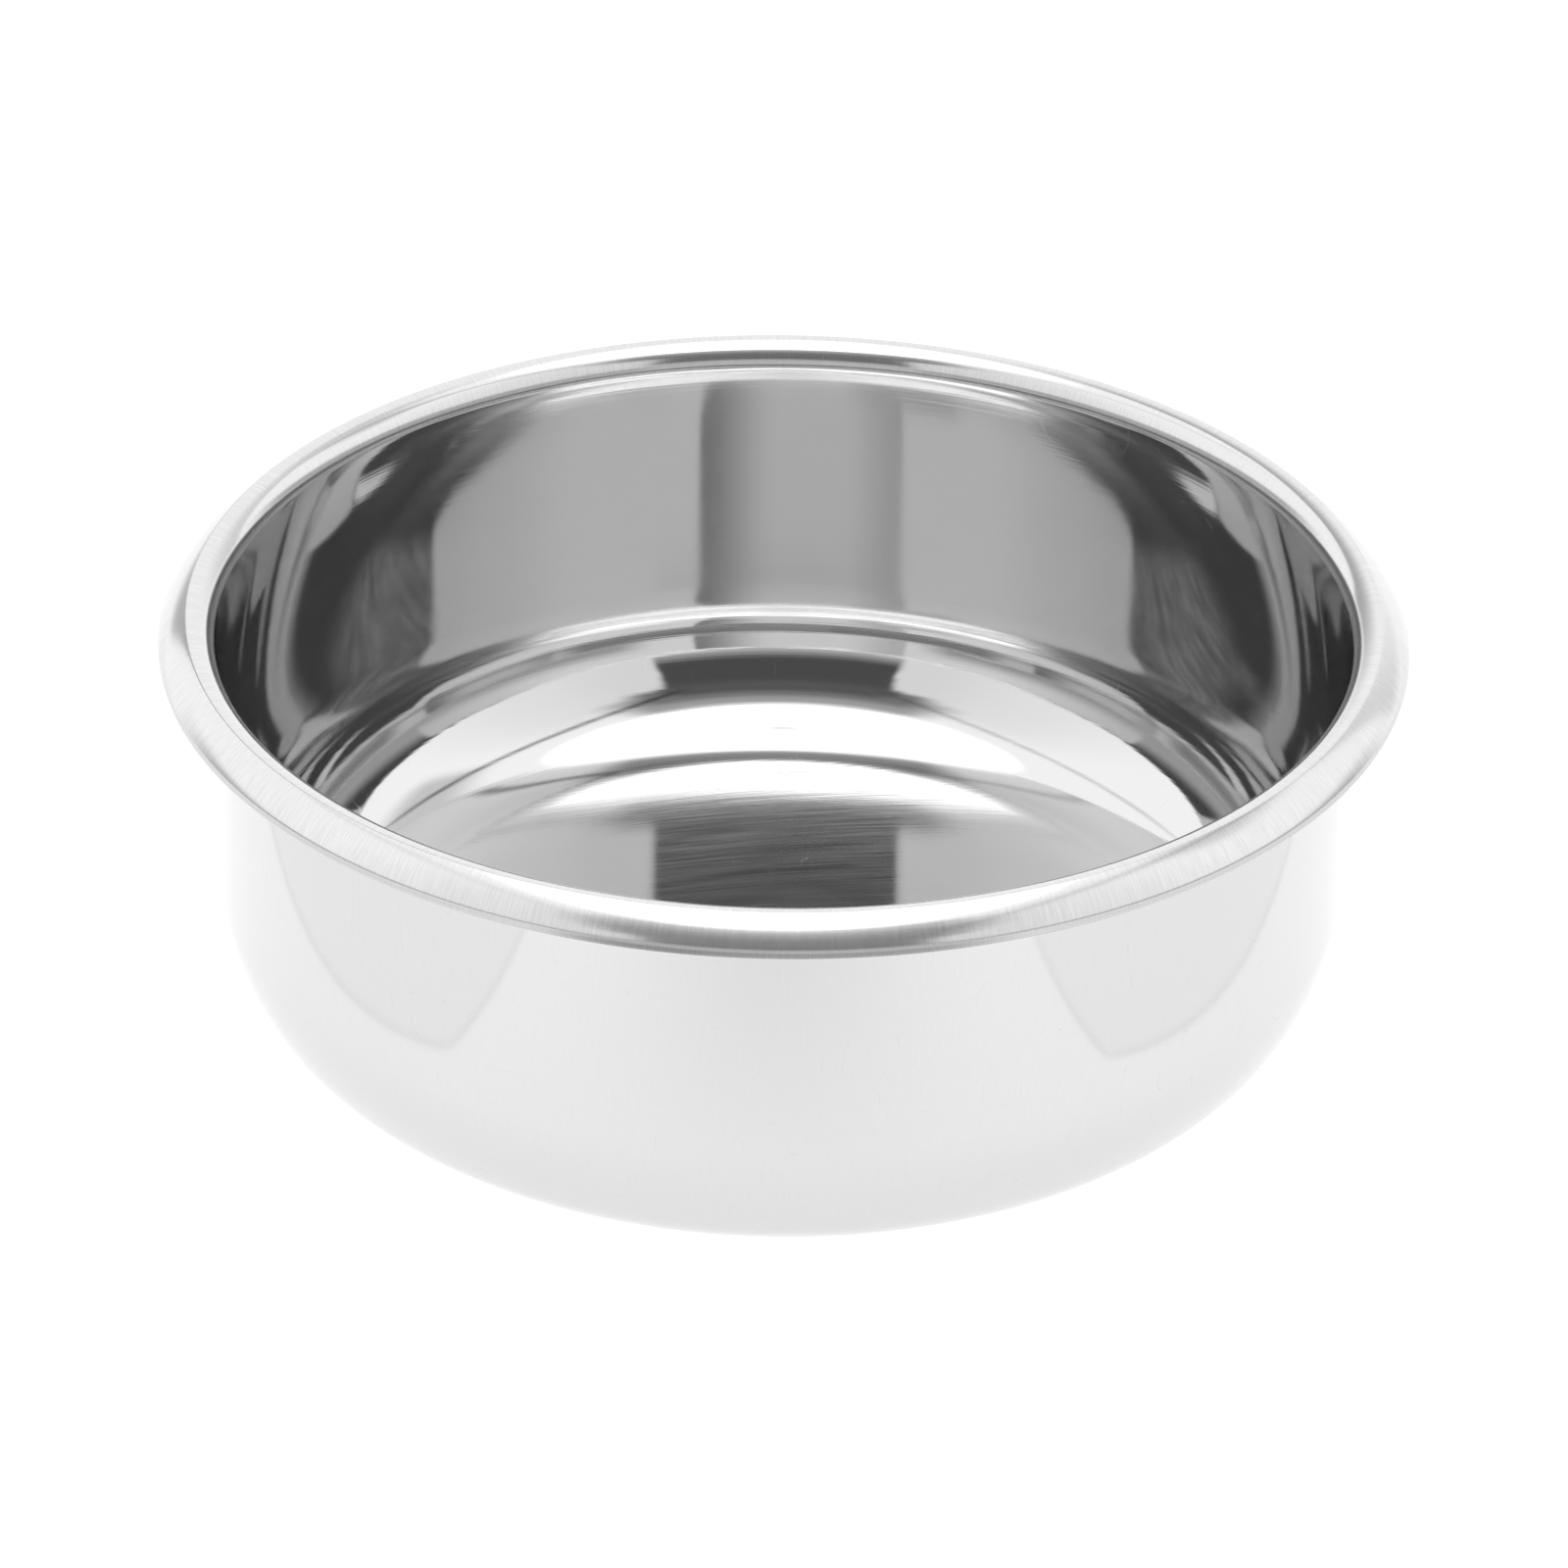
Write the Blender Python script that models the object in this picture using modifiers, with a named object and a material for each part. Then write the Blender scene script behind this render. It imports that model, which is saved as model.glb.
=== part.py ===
"""Shaving bowl: one deep-drawn steel sheet whose rim is turned out and rolled round a wire.

Metres, +Z up. The origin is the centre of the flat underside, and the bowl's axis is Z.
"""

import math

import bpy

# ---- Driving dimensions ------------------------------------------------------------------
RIM_RADIUS = 0.0600          # axis to the outermost point of the rolled rim
HEIGHT = 0.0430              # underside to the crest of the rim
SHEET = 0.0007               # thickness of the drawn sheet
CORNER_RADIUS = 0.0155       # bend between floor and wall, on the outside of the sheet
WALL_DRAFT = math.radians(1.15)  # the mouth is this much wider than a straight wall

# The rim, all on the face that shows: a lip, a crease at the crest, a slope and a tight curl.
LIP_RADIUS = 0.0026
CREASE_RADIUS = 0.00035
SLOPE_RADIUS = 0.0080
CURL_RADIUS = 0.0008
SLOPE_TOP = math.radians(30.0)      # fall of the slope where it leaves the crease
SLOPE_BOTTOM = math.radians(54.0)   # fall of the slope where the curl begins

GAP = 0.0003                 # air left between faces that touch on the real bowl
WIRE_RADIUS = 0.0007
WIRE_END_GAP = 0.0005        # the wire's two ends nearly meet

# ---- Smoothness --------------------------------------------------------------------------
STEPS = 64                   # facets round the axis
WIRE_BEVEL_RESOLUTION = 2
SHARP_ANGLE = math.radians(40.0)

QUARTER = math.pi / 2


def arc_span(radius, start, end):
    """Run and rise of an arc whose heading goes from start to end, measured from +X."""
    turn = 1.0 if end > start else -1.0
    run = turn * radius * (math.sin(end) - math.sin(start))
    rise = turn * radius * (math.cos(start) - math.cos(end))
    return run, rise


def walk(moves):
    """Follow lines and arcs from the axis along the sheet's upper face.

    A move is (length,) for a line or (radius, end heading, facets) for an arc. Each station
    is the point and the unit normal that looks away from the metal.
    """
    x, z, heading = 0.0, SHEET, 0.0
    stations = [(x, z, heading)]
    for move in moves:
        if len(move) == 1:
            x += move[0] * math.cos(heading)
            z += move[0] * math.sin(heading)
            stations.append((x, z, heading))
            continue
        radius, end, facets = move
        for i in range(facets):
            here = heading + (end - heading) * i / facets
            there = heading + (end - heading) * (i + 1) / facets
            run, rise = arc_span(radius, here, there)
            x += run
            z += rise
            stations.append((x, z, there))
        heading = end
    return [((x, z), (-math.sin(a), math.cos(a))) for x, z, a in stations]


def sheet_moves():
    """The bowl's section as one path; the floor and wall take up what the bends leave."""
    wall_heading = QUARTER - WALL_DRAFT
    corner = CORNER_RADIUS - SHEET
    bends = [
        arc_span(corner, 0.0, wall_heading),
        arc_span(LIP_RADIUS, wall_heading, 0.0),
    ]
    wall = (HEIGHT - SHEET - sum(rise for _, rise in bends)) / math.cos(WALL_DRAFT)
    bends += [
        arc_span(CREASE_RADIUS, 0.0, -SLOPE_TOP),
        arc_span(SLOPE_RADIUS, -SLOPE_TOP, -SLOPE_BOTTOM),
        arc_span(CURL_RADIUS, -SLOPE_BOTTOM, -QUARTER),
    ]
    bend_run = sum(run for run, _ in bends)
    spread = wall * math.sin(WALL_DRAFT)
    floor = RIM_RADIUS - bend_run - spread
    wall_outside = floor + bends[0][0] + spread + SHEET
    hem = RIM_RADIUS - CURL_RADIUS - (wall_outside + GAP)
    return [
        (floor,),
        (corner, wall_heading, 9),
        (wall,),
        (LIP_RADIUS, 0.0, 6),
        (CREASE_RADIUS, -SLOPE_TOP, 1),
        (SLOPE_RADIUS, -SLOPE_BOTTOM, 2),
        (CURL_RADIUS, -QUARTER, 2),
        (CURL_RADIUS, -2 * QUARTER, 4),
        (hem,),
    ], wall_outside


def steel(name, colour, roughness):
    """A bare metal finish."""
    material = bpy.data.materials.new(name)
    material.use_nodes = True
    shader = material.node_tree.nodes["Principled BSDF"]
    shader.inputs["Base Color"].default_value = (*colour, 1.0)
    shader.inputs["Metallic"].default_value = 1.0
    shader.inputs["Roughness"].default_value = roughness
    return material


def turned(name, profile, material, collection):
    """Turn a closed profile in the XZ plane round Z and shade it smooth."""
    mesh = bpy.data.meshes.new(name + "_profile")
    edges = [(i, i + 1) for i in range(len(profile) - 1)]
    mesh.from_pydata([(x, 0.0, z) for x, z in profile], edges, [])
    body = bpy.data.objects.new(name, mesh)
    collection.objects.link(body)
    screw = body.modifiers.new("Turn", "SCREW")
    screw.axis = "Z"
    screw.angle = 2 * math.pi
    screw.steps = STEPS
    screw.render_steps = STEPS
    screw.use_merge_vertices = True
    screw.merge_threshold = 0.00001
    depsgraph = bpy.context.evaluated_depsgraph_get()
    body.data = bpy.data.meshes.new_from_object(body.evaluated_get(depsgraph))
    body.data.name = name
    body.modifiers.clear()
    body.data.shade_smooth()
    body.data.set_sharp_from_angle(angle=SHARP_ANGLE)
    body.data.materials.append(material)
    return body


def make_bowl_shell(moves, collection):
    """The whole sheet: its upper face out from the axis, then its lower face back to it."""
    stations = walk(moves)
    upper = [point for point, _ in stations]
    lower = [(x - SHEET * nx, z - SHEET * nz) for (x, z), (nx, nz) in stations]
    finish = steel("polished_steel", (0.66, 0.65, 0.64), 0.10)
    return turned("bowl_shell", upper + lower[::-1], finish, collection)


def make_rim_wire(wall_outside, collection):
    """A wire bent to a ring inside the rolled rim, on the hem and under the crest."""
    curl_drop = arc_span(CURL_RADIUS, -SLOPE_BOTTOM, -2 * QUARTER)[1]
    slope_drop = arc_span(SLOPE_RADIUS, -SLOPE_TOP, -SLOPE_BOTTOM)[1]
    crease_drop = arc_span(CREASE_RADIUS, 0.0, -SLOPE_TOP)[1]
    hem_top = HEIGHT + crease_drop + slope_drop + curl_drop + SHEET
    ring_radius = wall_outside - SHEET + LIP_RADIUS - GAP
    ring_height = hem_top + GAP + WIRE_RADIUS

    curve = bpy.data.curves.new("rim_wire", "CURVE")
    curve.dimensions = "3D"
    curve.bevel_depth = WIRE_RADIUS
    curve.bevel_resolution = WIRE_BEVEL_RESOLUTION
    curve.use_fill_caps = True
    spline = curve.splines.new("POLY")
    spline.points.add(STEPS)
    first = WIRE_END_GAP / 2 / ring_radius
    sweep = 2 * math.pi - 2 * first
    for i, point in enumerate(spline.points):
        angle = first + sweep * i / STEPS
        point.co = (ring_radius * math.cos(angle), ring_radius * math.sin(angle), ring_height, 1.0)
    curve.materials.append(steel("wire_steel", (0.42, 0.42, 0.43), 0.45))
    wire = bpy.data.objects.new("rim_wire", curve)
    collection.objects.link(wire)
    return wire


def main():
    for old in list(bpy.data.objects):
        bpy.data.objects.remove(old, do_unlink=True)
    collection = bpy.data.collections.new("shaving_bowl")
    bpy.context.scene.collection.children.link(collection)
    moves, wall_outside = sheet_moves()
    make_bowl_shell(moves, collection)
    make_rim_wire(wall_outside, collection)


main()
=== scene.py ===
# %% [markdown]
# # A lather bowl in polished steel
# The bowl is one sheet of stainless steel, drawn to a cup by a press. Its rim is turned out,
# and the cut edge is rolled round a wire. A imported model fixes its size, and this script gives
# it its finish. A polished bowl has hardly any colour of its own: what we see is the room, bent
# by the shape. So the work is in three things: a smooth surface, the marks that polishing
# leaves, and a room worth reflecting.

# %% Load the frame
import math

import bpy
from mathutils import Matrix, Vector


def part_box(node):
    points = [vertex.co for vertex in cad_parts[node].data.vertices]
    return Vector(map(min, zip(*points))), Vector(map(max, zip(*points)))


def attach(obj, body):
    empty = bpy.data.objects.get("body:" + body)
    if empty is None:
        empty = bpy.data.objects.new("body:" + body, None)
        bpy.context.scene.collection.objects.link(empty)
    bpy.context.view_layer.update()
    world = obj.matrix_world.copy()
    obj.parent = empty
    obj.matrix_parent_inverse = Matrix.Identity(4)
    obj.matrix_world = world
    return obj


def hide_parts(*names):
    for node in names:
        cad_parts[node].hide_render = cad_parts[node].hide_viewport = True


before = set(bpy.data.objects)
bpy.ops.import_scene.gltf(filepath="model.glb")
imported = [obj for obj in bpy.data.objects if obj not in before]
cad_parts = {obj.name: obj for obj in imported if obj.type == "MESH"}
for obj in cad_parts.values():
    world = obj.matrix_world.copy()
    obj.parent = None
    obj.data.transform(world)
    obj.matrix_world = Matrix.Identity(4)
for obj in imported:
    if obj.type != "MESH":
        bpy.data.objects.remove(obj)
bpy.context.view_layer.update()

# %% [markdown]
# Sizes come from the frame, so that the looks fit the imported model. The box of the shell gives
# the radius of the rim and the height. The finer sizes below are the ones that a press tool
# would be cut to.

# %% Measure the bowl
shell_low, shell_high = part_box("bowl_shell")
RIM_RADIUS = (shell_high.x - shell_low.x) / 2
HEIGHT = shell_high.z - shell_low.z
SHEET = 0.0007
CORNER_RADIUS = 0.0155
CORNER_TIGHT = 0.845
CORNER_WIDE = 1.25
CORNER_MEETING = math.radians(60)
WALL_DRAFT = math.radians(1.15)
LIP_RADIUS = 0.0026
CREASE_RADIUS = 0.00035
SLOPE_RADIUS = 0.0080
CURL_RADIUS = 0.0008
SLOPE_TOP = math.radians(30.0)
SLOPE_BOTTOM = math.radians(54.0)
HEM_GAP = 0.00012
QUARTER = math.pi / 2
print(f"rim {2000 * RIM_RADIUS:.1f} mm across, {1000 * HEIGHT:.1f} mm high")

# %% [markdown]
# The camera comes first, because everything is judged through it. It stands twelve rim radii
# away with a long lens, 30 degrees above the table, and is rolled by less than a degree.

# %% Set up the camera
CAMERA_DISTANCE = 12 * RIM_RADIUS
CAMERA_ELEVATION = math.radians(30.15)
CAMERA_ROLL = math.radians(0.78)
CAMERA_LENS = 170.0
SENSOR_WIDTH = 36.0
NEAR_CLIP = 0.01
AIM = Vector((0.0002, 0.0, 0.535 * HEIGHT))

lens = bpy.data.cameras.new("camera")
lens.lens = CAMERA_LENS
lens.sensor_width = SENSOR_WIDTH
lens.clip_start = NEAR_CLIP
camera = bpy.data.objects.new("camera", lens)
bpy.context.scene.collection.objects.link(camera)
toward_camera = Vector((0, -math.cos(CAMERA_ELEVATION), math.sin(CAMERA_ELEVATION)))
camera.location = AIM + CAMERA_DISTANCE * toward_camera
look = (AIM - camera.location).to_track_quat("-Z", "Y").to_matrix()
camera.rotation_euler = (look @ Matrix.Rotation(CAMERA_ROLL, 3, "Z")).to_euler()
bpy.context.scene.camera = camera
print(f"camera {CAMERA_DISTANCE:.2f} m away, {CAMERA_LENS:.0f} mm lens")

# %% [markdown]
# ## The section of the sheet
# A press shapes sheet with straight runs and bends, so the section is a walk of lines and arcs
# along the face that shows: floor, corner, wall, lip, crease, slope, curl, hem. The other face
# lies one sheet's thickness behind it. The floor and the wall take up the length that the bends
# leave, which keeps the section inside the measured box. The corner is two arcs: the corner's
# radius times CORNER_TIGHT up to the heading CORNER_MEETING, and times CORNER_WIDE above it.
# Each station keeps its place, its heading, the name of its run and the distance walked.

# %% Walk along the sheet
PIECES = {"floor": 12, "corner at the floor": 14, "corner at the wall": 16, "wall": 16, "lip": 14,
          "crease": 4, "slope": 8, "curl outwards": 4, "curl under": 8, "hem": 4}


def arc_span(radius, start, end):
    """Run and rise of an arc whose heading goes from start to end."""
    turn = 1.0 if end > start else -1.0
    run = turn * radius * (math.sin(end) - math.sin(start))
    rise = turn * radius * (math.cos(start) - math.cos(end))
    return run, rise


def sheet_moves():
    """(name, radius or None, length or end heading, pieces) for each run of the section."""
    wall_heading = QUARTER - WALL_DRAFT
    tight = CORNER_TIGHT * (CORNER_RADIUS - SHEET)
    wide = CORNER_WIDE * (CORNER_RADIUS - SHEET)
    bends = [arc_span(tight, 0.0, CORNER_MEETING), arc_span(wide, CORNER_MEETING, wall_heading)]
    corner_run = sum(run for run, _ in bends)
    bends.append(arc_span(LIP_RADIUS, wall_heading, 0.0))
    wall = (HEIGHT - SHEET - sum(rise for _, rise in bends)) / math.cos(WALL_DRAFT)
    bends.append(arc_span(CREASE_RADIUS, 0.0, -SLOPE_TOP))
    bends.append(arc_span(SLOPE_RADIUS, -SLOPE_TOP, -SLOPE_BOTTOM))
    bends.append(arc_span(CURL_RADIUS, -SLOPE_BOTTOM, -QUARTER))
    spread = wall * math.sin(WALL_DRAFT)
    floor = RIM_RADIUS - sum(run for run, _ in bends) - spread
    wall_outside = floor + corner_run + spread + SHEET
    hem = RIM_RADIUS - CURL_RADIUS - wall_outside - HEM_GAP
    return [
        ("floor", None, floor, PIECES["floor"]),
        ("corner", tight, CORNER_MEETING, PIECES["corner at the floor"]),
        ("corner", wide, wall_heading, PIECES["corner at the wall"]),
        ("wall", None, wall, PIECES["wall"]),
        ("lip", LIP_RADIUS, 0.0, PIECES["lip"]),
        ("crease", CREASE_RADIUS, -SLOPE_TOP, PIECES["crease"]),
        ("slope", SLOPE_RADIUS, -SLOPE_BOTTOM, PIECES["slope"]),
        ("curl", CURL_RADIUS, -QUARTER, PIECES["curl outwards"]),
        ("curl", CURL_RADIUS, -2 * QUARTER, PIECES["curl under"]),
        ("hem", None, hem, PIECES["hem"]),
    ]


def walk_sheet():
    """Stations along the face that shows, as (x, z, heading, run's name, distance)."""
    x, z, heading, distance = 0.0, SHEET, 0.0, 0.0
    stations = [(x, z, heading, "floor", distance)]
    for name, radius, target, pieces in sheet_moves():
        start = heading
        for i in range(pieces):
            if radius is None:
                step = target / pieces
                run, rise, here = step * math.cos(start), step * math.sin(start), start
            else:
                last = start + (target - start) * i / pieces
                here = start + (target - start) * (i + 1) / pieces
                run, rise = arc_span(radius, last, here)
                step = radius * abs(here - last)
            x, z, distance = x + run, z + rise, distance + step
            stations.append((x, z, here, name, distance))
        heading = stations[-1][2]
    return stations


stations = walk_sheet()
print(f"{len(stations)} stations, {1000 * stations[-1][4]:.1f} mm of sheet from axis to cut edge")

# %% [markdown]
# ## Two small helpers for node trees
# Every tree below is made of the same two acts, adding a node and joining two sockets, so each
# act gets a short function. `put` also sets the node's own options and its unlinked inputs, and
# `new_tree` makes a node group with its sockets.

# %% Helpers
def put(tree, kind, options=None, **values):
    """Add a node. options set its properties, values its inputs (by name, or by _number)."""
    node = tree.nodes.new(kind)
    for key, value in (options or {}).items():
        setattr(node, key, value)
    for key, value in values.items():
        socket = node.inputs[int(key[1:])] if key[0] == "_" else node.inputs[key.replace("_", " ")]
        if isinstance(value, bpy.types.NodeSocket):
            tree.links.new(value, socket)
        else:
            socket.default_value = value
    return node


def math_node(tree, operation, *values, clamp=False):
    """A Math node's result; each value is a socket or a number."""
    node = put(tree, "ShaderNodeMath", {"operation": operation, "use_clamp": clamp})
    for socket, value in zip(node.inputs, values):
        if isinstance(value, bpy.types.NodeSocket):
            tree.links.new(value, socket)
        else:
            socket.default_value = value
    return node.outputs[0]


def new_tree(name, kind, inputs, outputs):
    """A node group with named sockets: (name, type, default) in, (name, type) out."""
    tree = bpy.data.node_groups.new(name, kind)
    for label, socket_type, default in inputs:
        socket = tree.interface.new_socket(label, in_out="INPUT", socket_type=socket_type)
        if default is not None:
            socket.default_value = default
    for label, socket_type in outputs:
        tree.interface.new_socket(label, in_out="OUTPUT", socket_type=socket_type)
    return tree, tree.nodes.new("NodeGroupInput").outputs, tree.nodes.new("NodeGroupOutput").inputs


print("helpers:", put.__name__, math_node.__name__, new_tree.__name__)

# %% [markdown]
# ## Turning the section with Geometry Nodes
# A lathe in Geometry Nodes is a grid that is bent: one side of the grid counts stations of the
# section, the other counts steps round the axis. Each grid point looks its station up by number
# and is set at that radius and height. The same tree then moves the sheet a hair's breadth in
# and out with a slow noise, because pressed sheet is never perfectly round and a mirror shows
# it, and lets the cut edge of the hem wander, which makes the seam under the rim look real.

# %% Build the turning tree
HEM_OUT = {"frequency": 160.0, "seed_step": 3.0}
HEM_UP = {"frequency": 90.0, "seed_step": 7.0}
NOISE_DETAIL = 2.0
MERGE_DISTANCE = 1e-6


def build_turning_tree():
    """Section points in, turned sheet out."""
    tree, given, result = new_tree("turn_sheet", "GeometryNodeTree", [
        ("Section", "NodeSocketGeometry", None),
        ("Steps", "NodeSocketInt", 64),
        ("Ripple", "NodeSocketFloat", 0.0),
        ("Ripple Size", "NodeSocketFloat", 0.03),
        ("Hem Wander", "NodeSocketFloat", 0.0),
        ("Seed", "NodeSocketFloat", 0.0),
        ("Finish", "NodeSocketMaterial", None),
    ], [("Sheet", "NodeSocketGeometry")])
    section = given["Section"]

    def whole(operation, a, b):
        node = put(tree, "FunctionNodeIntegerMath", {"operation": operation}, _0=a, _1=b)
        return node.outputs[0]

    count = put(tree, "GeometryNodeAttributeDomainSize", Geometry=section).outputs["Point Count"]
    around = whole("ADD", given["Steps"], 1)
    grid = put(tree, "GeometryNodeMeshGrid", Vertices_X=count, Vertices_Y=around)
    index = put(tree, "GeometryNodeInputIndex").outputs[0]
    station = whole("DIVIDE", index, around)
    step = whole("MODULO", index, around)

    def look_up(socket, data_type):
        options = {"data_type": data_type, "domain": "POINT"}
        node = put(tree, "GeometryNodeSampleIndex", options, Geometry=section, Value=socket,
                   Index=station)
        return node.outputs["Value"]

    def named(name):
        reader = put(tree, "GeometryNodeInputNamedAttribute", {"data_type": "FLOAT"}, Name=name)
        return look_up(reader.outputs["Attribute"], "FLOAT")

    place = look_up(put(tree, "GeometryNodeInputPosition").outputs[0], "FLOAT_VECTOR")
    place = put(tree, "ShaderNodeSeparateXYZ", Vector=place).outputs
    share = math_node(tree, "DIVIDE", step, given["Steps"])
    angle = math_node(tree, "MULTIPLY", share, 2 * math.pi)
    cosine = math_node(tree, "COSINE", angle)
    sine = math_node(tree, "SINE", angle)

    # The noise is read on the sheet's middle, so both faces of the sheet move together.
    radius = named("middle_radius")
    spot = put(tree, "ShaderNodeCombineXYZ", X=math_node(tree, "MULTIPLY", radius, cosine),
               Y=math_node(tree, "MULTIPLY", radius, sine), Z=named("middle_height")).outputs[0]

    def noise(frequency, seed_step):
        node = put(tree, "ShaderNodeTexNoise", {"noise_dimensions": "4D"}, Vector=spot,
                   W=math_node(tree, "ADD", given["Seed"], seed_step), Scale=frequency,
                   Detail=NOISE_DETAIL)
        return math_node(tree, "SUBTRACT", node.outputs[0], 0.5)

    slow = noise(math_node(tree, "DIVIDE", 1.0, given["Ripple Size"]), 0.0)
    slow = math_node(tree, "MULTIPLY", slow, given["Ripple"])
    hem = math_node(tree, "MULTIPLY", named("hem"), given["Hem Wander"])
    edge_out = math_node(tree, "MULTIPLY", noise(**HEM_OUT), hem)
    edge_up = math_node(tree, "MULTIPLY", noise(**HEM_UP), hem)
    out = math_node(tree, "ADD", math_node(tree, "MULTIPLY", slow, named("push_out")), edge_out)
    up = math_node(tree, "ADD", math_node(tree, "MULTIPLY", slow, named("push_up")), edge_up)
    out = math_node(tree, "ADD", place["X"], out)
    up = math_node(tree, "ADD", place["Z"], up)
    point = put(tree, "ShaderNodeCombineXYZ", X=math_node(tree, "MULTIPLY", out, cosine),
                Y=math_node(tree, "MULTIPLY", out, sine), Z=up).outputs[0]
    bent = put(tree, "GeometryNodeSetPosition", Geometry=grid.outputs["Mesh"], Position=point)
    sheet = bent.outputs["Geometry"]
    for name in ("satin", "along"):
        sheet = put(tree, "GeometryNodeStoreNamedAttribute", {"data_type": "FLOAT", "domain": "POINT"},
                    Geometry=sheet, Name=name, Value=named(name)).outputs["Geometry"]
    merged = put(tree, "GeometryNodeMergeByDistance", Geometry=sheet, Distance=MERGE_DISTANCE)
    sheet = merged.outputs["Geometry"]
    sheet = put(tree, "GeometryNodeSetShadeSmooth", Geometry=sheet).outputs["Geometry"]
    sheet = put(tree, "GeometryNodeRealizeInstances", Geometry=sheet).outputs["Geometry"]
    sheet = put(tree, "GeometryNodeSetMaterial", Geometry=sheet, Material=given["Finish"])
    tree.links.new(sheet.outputs["Geometry"], result["Sheet"])
    return tree


turning_tree = build_turning_tree()
print("turning tree:", len(turning_tree.nodes), "nodes")

# %% [markdown]
# The tree reads a mesh of loose points, one for each station on the seen face and, going back,
# one for each on the hidden face. Their weights ride along as attributes.

# %% Points of the section
SATIN = {"floor": 0.0, "corner": 0.0, "wall": 0.0, "lip": 0.75, "crease": 0.85, "slope": 1.0,
         "curl": 1.0, "hem": 0.5}
HIDDEN_SATIN = 0.15
HIDDEN_SHARE = 0.5
WEIGHTS = ("satin", "along", "hem", "middle_radius", "middle_height", "push_out", "push_up")
print("satin runs:", [name for name, share in SATIN.items() if share > 0])


def section_mesh():
    """Points of the closed section with the weights that the tree reads."""
    points, weights = [], {key: [] for key in WEIGHTS}
    for side, ordered in ((0.0, stations), (1.0, stations[::-1])):
        for x, z, heading, name, distance in ordered:
            normal = (-math.sin(heading), math.cos(heading))
            points.append((x - side * SHEET * normal[0], 0.0, z - side * SHEET * normal[1]))
            held = 1.0 if name in ("floor", "corner", "wall") else 0.0
            hidden_satin = HIDDEN_SATIN + HIDDEN_SHARE * SATIN[name]
            weights["satin"].append(SATIN[name] if side == 0.0 else hidden_satin)
            weights["along"].append(distance)
            weights["hem"].append(1.0 if name == "hem" else 0.0)
            weights["middle_radius"].append(x - SHEET / 2 * normal[0])
            weights["middle_height"].append(z - SHEET / 2 * normal[1])
            weights["push_out"].append(normal[0] * held)
            weights["push_up"].append(normal[1] * held)
    mesh = bpy.data.meshes.new("section")
    mesh.from_pydata(points, [], [])
    for key, values in weights.items():
        mesh.attributes.new(key, "FLOAT", "POINT").data.foreach_set("value", values)
    return mesh


def bake_nodes(name, mesh, tree, inputs):
    """Run a tree on a mesh once, and return an object that holds the plain result."""
    draft = bpy.data.objects.new(name + "_draft", mesh)
    bpy.context.scene.collection.objects.link(draft)
    modifier = draft.modifiers.new("Shape", "NODES")
    modifier.node_group = tree
    items = tree.interface.items_tree
    sockets = {item.name: item.identifier for item in items if item.in_out == "INPUT"}
    for label, value in inputs.items():
        modifier[sockets[label]] = value
    depsgraph = bpy.context.evaluated_depsgraph_get()
    baked = bpy.data.meshes.new_from_object(draft.evaluated_get(depsgraph), depsgraph=depsgraph)
    bpy.data.objects.remove(draft)
    piece = bpy.data.objects.new(name, baked)
    baked.name = name
    bpy.context.scene.collection.objects.link(piece)
    return piece

# %% [markdown]
# ## The marks that polishing leaves
# A polished sheet is never a perfect mirror. The belt that finished the walls ran round them, so
# fine lines run round too. The floor was wiped with a wheel that swept in wide arcs. Both are one
# effect: a noise that is squeezed across the marks and stretched along them. The group below gives
# that noise twice, as fine lines and as broad streaks. It takes any vector whose X counts across
# the marks in metres, so one group serves the walls, the floor, the rim and the wire.

# %% Group: brushed lines
WIDENING = {"Fine": 1.0, "Broad": 9.0}
LINE_DETAIL = 2.0
LINE_ROUGHNESS = 0.6


def build_brushed_lines():
    """Lines at right angles to X: a fine set and a broad set, each around one half."""
    tree, given, result = new_tree("brushed_lines", "ShaderNodeTree", [
        ("Vector", "NodeSocketVector", None),
        ("Spacing", "NodeSocketFloat", 0.0002),
        ("Length", "NodeSocketFloat", 0.03),
        ("Seed", "NodeSocketFloat", 0.0),
    ], [("Fine", "NodeSocketFloat"), ("Broad", "NodeSocketFloat")])
    place = put(tree, "ShaderNodeSeparateXYZ", Vector=given["Vector"]).outputs
    stretched_y = math_node(tree, "DIVIDE", place["Y"], given["Length"])
    stretched_z = math_node(tree, "DIVIDE", place["Z"], given["Length"])
    stretched_z = math_node(tree, "ADD", stretched_z, given["Seed"])
    for label, widening in WIDENING.items():
        width = math_node(tree, "MULTIPLY", given["Spacing"], widening)
        across = math_node(tree, "DIVIDE", place["X"], width)
        spot = put(tree, "ShaderNodeCombineXYZ", X=across, Y=stretched_y, Z=stretched_z).outputs[0]
        noise = put(tree, "ShaderNodeTexNoise", Vector=spot, Scale=1.0, Detail=LINE_DETAIL,
                    Roughness=LINE_ROUGHNESS)
        tree.links.new(noise.outputs[0], result[label])
    return tree


brushed_lines = build_brushed_lines()
print("brushed lines:", len(brushed_lines.nodes), "nodes")

# %% [markdown]
# Handling adds hairlines that lie in every direction. A hairline is the thin place where a
# stretched noise crosses its middle value, kept only where a second, slower noise is high, so that
# each line begins and ends. Turning the vector gives the next family of lines.

# %% Group: hairlines
HAIRLINE_STRETCH = 5.0
GATE_SCALE = 1.7


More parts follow.
